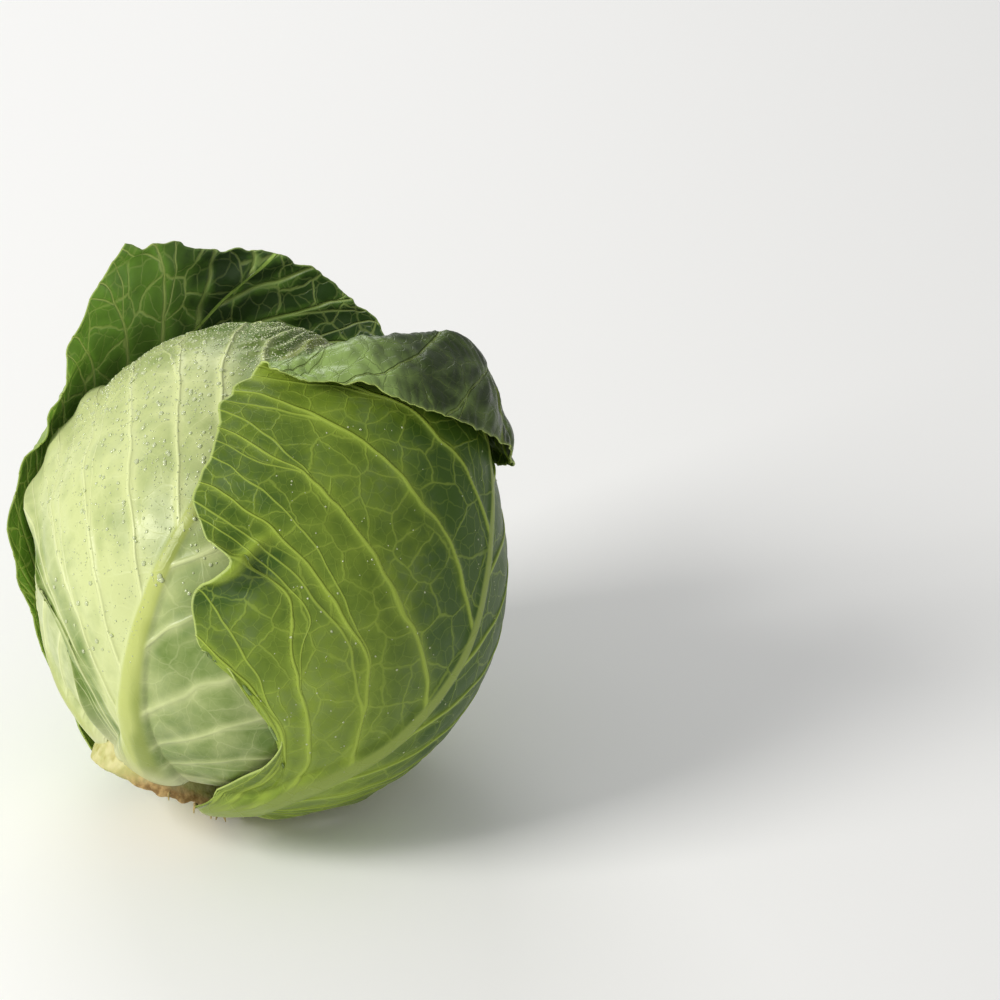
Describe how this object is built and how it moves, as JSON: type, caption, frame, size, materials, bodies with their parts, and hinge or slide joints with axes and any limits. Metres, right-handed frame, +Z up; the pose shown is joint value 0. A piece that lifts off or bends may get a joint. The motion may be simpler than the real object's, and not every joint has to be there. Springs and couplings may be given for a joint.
{
  "type": "cabbage head",
  "caption": "Green cabbage head as picked: cut stem, dense heart and loose ribbed wrapper leaves, one folded back",
  "frame": {"origin": "on the surface that the head lies on, in the middle of the small flat spot under its centre", "axes": "+Z up from the surface; the stem points down, forwards and left, the crown up, back and right; the folded leaf is at +X"},
  "size_m": [0.1897, 0.1851, 0.1921],
  "materials": {
    "stem_flesh": "moist pale cut stem with a dried brown fibrous rim",
    "heart_leaf": "pale waxy inner leaf",
    "pale_leaf": "pale waxy leaf with raised white-green ribs and fine dew",
    "green_leaf": "mid-green waxy leaf with yellow-green veins",
    "dark_leaf": "dark green leaf with a net of pale veins"
  },
  "bodies": {
    "root": {"stem": "stem_flesh", "heart": "heart_leaf", "leaf_front": "pale_leaf", "leaf_right": "green_leaf", "leaf_back": "dark_leaf", "leaf_left": "pale_leaf", "leaf_rear": "green_leaf", "leaf_far_right": "pale_leaf"}
  },
  "joints": []
}
